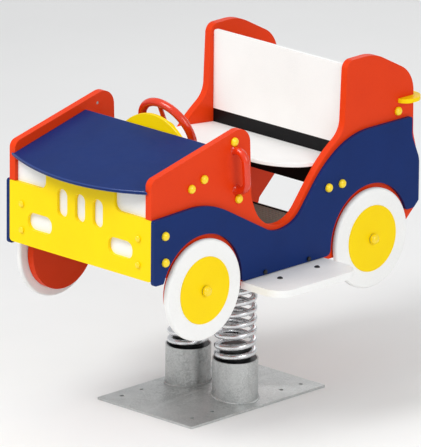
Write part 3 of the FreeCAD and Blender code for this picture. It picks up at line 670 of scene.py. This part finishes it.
def capProfile(radius, height, look):
    # An upright skirt and over it a quarter of an ellipse, from the foot nearly to the middle of the top.
    angle = np.radians(np.linspace(0, 89, domeSteps))
    rise = look["skirt"] + (height - look["skirt"]) * np.sin(angle)
    foot = np.array([[radius - look["rounding"], 0.0], [radius, look["rounding"]]])
    return np.vstack([foot, np.stack([radius * np.cos(angle), rise], axis=1)])


def domeCaps(name, node):
    # One cap over each solid of the node, growing outwards from the solid's inner side.
    grids = []
    for low, high in solidBoxes(node):
        middle = (low + high) / 2
        hand = 1 if middle[1] > 0 else -1
        foot = (middle[0], low[1] if hand > 0 else high[1], middle[2])
        profile = capProfile((high[0] - low[0]) / 2, high[1] - low[1], capShape)
        grids.append(turned(profile, foot, (0, hand, 0)))
    caps = paint(surface(name, grids), yellowCap)
    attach(caps, "car")
    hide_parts(node)


for hand in ("left", "right"):
    domeCaps("dome_caps_" + hand, "bolt_caps_" + hand)
domeCaps("hub_caps", "axle_caps")

screwProfile = capProfile(screwCapShape["radius"], screwCapShape["height"], capShape)
screwGrids = []
for low, high in solidBoxes("front_screws"):
    middle = (low + high) / 2
    foot = (high[0] - screwCapShape["overlap"], middle[1], middle[2])
    screwGrids.append(turned(screwProfile, foot, (1, 0, 0)))
screwCaps = paint(surface("front_screw_caps", screwGrids), yellowCap)
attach(screwCaps, "car")

stepBoltShape = {
    "radius": 0.009,
    "height": 0.0052,
    "domeEnd": 70,           # degrees up the dome at which the socket starts
    "socket": 0.0031,
    "socketDepth": 0.0032,
    "socketMiddle": 0.0004,
    "sunk": 0.0004,          # how far the head's rim goes into the step
    "shank": 0.0049,
    "shankTop": -0.0002,
}


def buttonHead(look):
    # A low dome that turns down into a socket at its middle.
    angle = np.radians(np.linspace(0, look["domeEnd"], domeSteps))
    dome = np.stack([look["radius"] * np.cos(angle), look["height"] * np.sin(angle)], axis=1)
    top = dome[-1, 1]
    floorHeight = top - look["socketDepth"]
    socket = [(look["socket"], top), (look["socket"], floorHeight), (look["socketMiddle"], floorHeight)]
    return np.vstack([[(look["radius"], -look["sunk"])], dome, socket])


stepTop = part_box("step_left")[1][2]
boltGrids = []
for low, high in solidBoxes("step_bolts"):
    middle = (low + high) / 2
    foot = (middle[0], middle[1], stepTop)
    shank = [(stepBoltShape["shank"], low[2] - stepTop), (stepBoltShape["shank"], stepBoltShape["shankTop"])]
    boltGrids += [turned(buttonHead(stepBoltShape), foot, upwards), turned(shank, foot, upwards)]
stepBolts = paint(surface("step_button_bolts", boltGrids), castBlack)
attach(stepBolts, "car")
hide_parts("step_bolts")
print("caps and screws set")

# ---- grab handles -------------------------------------------------------------------------------------
handleShape = {
    "tube": 0.012,
    "bend": 0.034,
    "footFlare": 0.0045,     # extra radius where the handle meets the panel, gone after flareLength
    "flareLength": 0.016,
    "sides": 32,
    "legSteps": 14,
    "bendSteps": 24,
    "gripSteps": 22,
}


def arcPoints(centre, radius, start, end, count):
    # Points (across, up) on a circle between two angles in degrees.
    angle = np.radians(np.linspace(start, end, count))
    return np.stack([centre[0] + radius * np.cos(angle), centre[1] + radius * np.sin(angle)], axis=1)


def handleOutline(reach, tall, look):
    # Out from the panel, a quarter turn, along the grip, a quarter turn and back, as (away, along).
    bend = look["bend"]
    leg = np.linspace(0, reach - bend, look["legSteps"])[:-1]
    grip = np.linspace(bend, tall - bend, look["gripSteps"])[1:-1]
    return np.vstack([
        np.stack([leg, np.zeros(len(leg))], axis=1),
        arcPoints((reach - bend, bend), bend, -90, 0, look["bendSteps"]),
        np.stack([np.full(len(grip), reach), grip], axis=1),
        arcPoints((reach - bend, tall - bend), bend, 0, 90, look["bendSteps"]),
        np.stack([leg[::-1], np.full(len(leg), tall)], axis=1),
    ])


def handleGrid(low, high, hand, look):
    inner = low[1] if hand > 0 else high[1]
    outer = (high[1] if hand > 0 else low[1]) - hand * look["tube"]
    foot = np.array([low[0] + look["tube"], low[2] + look["tube"]])
    top = np.array([high[0] - look["tube"], high[2] - look["tube"]])
    tall = np.linalg.norm(top - foot)
    alongX, alongZ = (top - foot) / tall
    away, along = handleOutline(abs(outer - inner), tall, look).T
    path = np.stack([foot[0] + alongX * along, inner + hand * away, foot[1] + alongZ * along], axis=1)
    flare = look["footFlare"] * np.clip(1 - away / look["flareLength"], 0, 1) ** 2
    return tube(path, look["tube"] + flare, (alongZ, 0, -alongX), look["sides"])


for hand, sign in (("left", 1), ("right", -1)):
    low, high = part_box("grab_handle_" + hand)
    grip = paint(surface("grip_" + hand, [handleGrid(low, high, sign, handleShape)]), redGrip)
    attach(grip, "car")
    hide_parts("grab_handle_" + hand)
print("handles bent")

# ---- camera, light and floor --------------------------------------------------------------------------
view = {
    "turn": 44.37,           # degrees from straight ahead towards the car's left
    "rise": 17.08,           # degrees above the ground
    "roll": 0.44,            # degrees
    "distance": 25.0,
    "seen": 1.359,           # height of the picture at the object
    "right": -0.0069,        # picture centre from the foot of the springs, across and up the picture
    "up": 0.5165,
    "sensor": 36,            # millimetres
    "clipEnd": 200,
}
turn, rise = math.radians(view["turn"]), math.radians(view["rise"])
back = Vector((math.cos(turn) * math.cos(rise), math.sin(turn) * math.cos(rise), math.sin(rise)))
right = Vector((-math.sin(turn), math.cos(turn), 0))
upward = back.cross(right)
springX = sum(corner[0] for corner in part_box("spring_left")) / 2
target = Vector((springX, 0, 0)) + right * view["right"] + upward * view["up"]
cameraData = bpy.data.cameras.new("camera")
cameraData.sensor_width = view["sensor"]
cameraData.lens = view["sensor"] * view["distance"] / view["seen"]
cameraData.clip_end = view["clipEnd"]
camera = addObject("camera", cameraData)
camera.location = target + back * view["distance"]
aim = Matrix((right, upward, back)).transposed()
camera.rotation_euler = (aim @ Matrix.Rotation(math.radians(view["roll"]), 3, "Z")).to_euler()
scene.camera = camera

# power is in watts.
lights = {
    "key": {"from": (3.2, -0.6, 4.4), "size": 2.6, "power": 145},
    "side": {"from": (0.6, 4.2, 2.6), "size": 2.8, "power": 62},
    "rear": {"from": (-4.0, -2.0, 3.2), "size": 3.0, "power": 26},
}
aimPoint = Vector((0, 0, 0.55))
for name, look in lights.items():
    data = bpy.data.lights.new(name, "AREA")
    data.shape = "DISK"
    data.size = look["size"]
    data.energy = look["power"]
    lamp = addObject(name, data)
    lamp.location = look["from"]
    lamp.rotation_euler = (aimPoint - lamp.location).to_track_quat("-Z", "Y").to_euler()

worldLook = {"colour": "FBFCFE", "strength": 0.6}
world = bpy.data.worlds.new("world")
scene.world = world
world.use_nodes = True
background = world.node_tree.nodes["Background"].inputs
background["Color"].default_value = toLinear(worldLook["colour"])
background["Strength"].default_value = worldLook["strength"]
scene.view_settings.view_transform = "Standard"

floorShape = {"half": 45.0, "cells": 60, "patch": 0.5, "roughness": 0.9}


def floorPaint(name, pale, deep, look):
    # Matt floor paint in two near whites that drift over half a metre.
    material, tree, shader, place = startMaterial(name, {"Roughness": look["roughness"]})
    colour = blendColours(tree, noise(tree, place, look["patch"], 3.0), pale, deep)
    tree.links.new(colour, shader.inputs["Base Color"])
    return material


def flatGrid(look):
    line = np.linspace(-look["half"], look["half"], look["cells"] + 1)
    across, along = np.meshgrid(line, line, indexing="ij")
    return np.stack([across, along, np.zeros(across.shape)], axis=-1)


grid = flatGrid(floorShape)
index = np.arange(grid.size // 3).reshape(grid.shape[:2])
floor = closedMesh("floor", grid.reshape(-1, 3), quadFaces(index))
paint(floor, floorPaint("floor_matt_paint", "F6F6F5", "F1F1F0", floorShape))
print("camera, light and floor set")
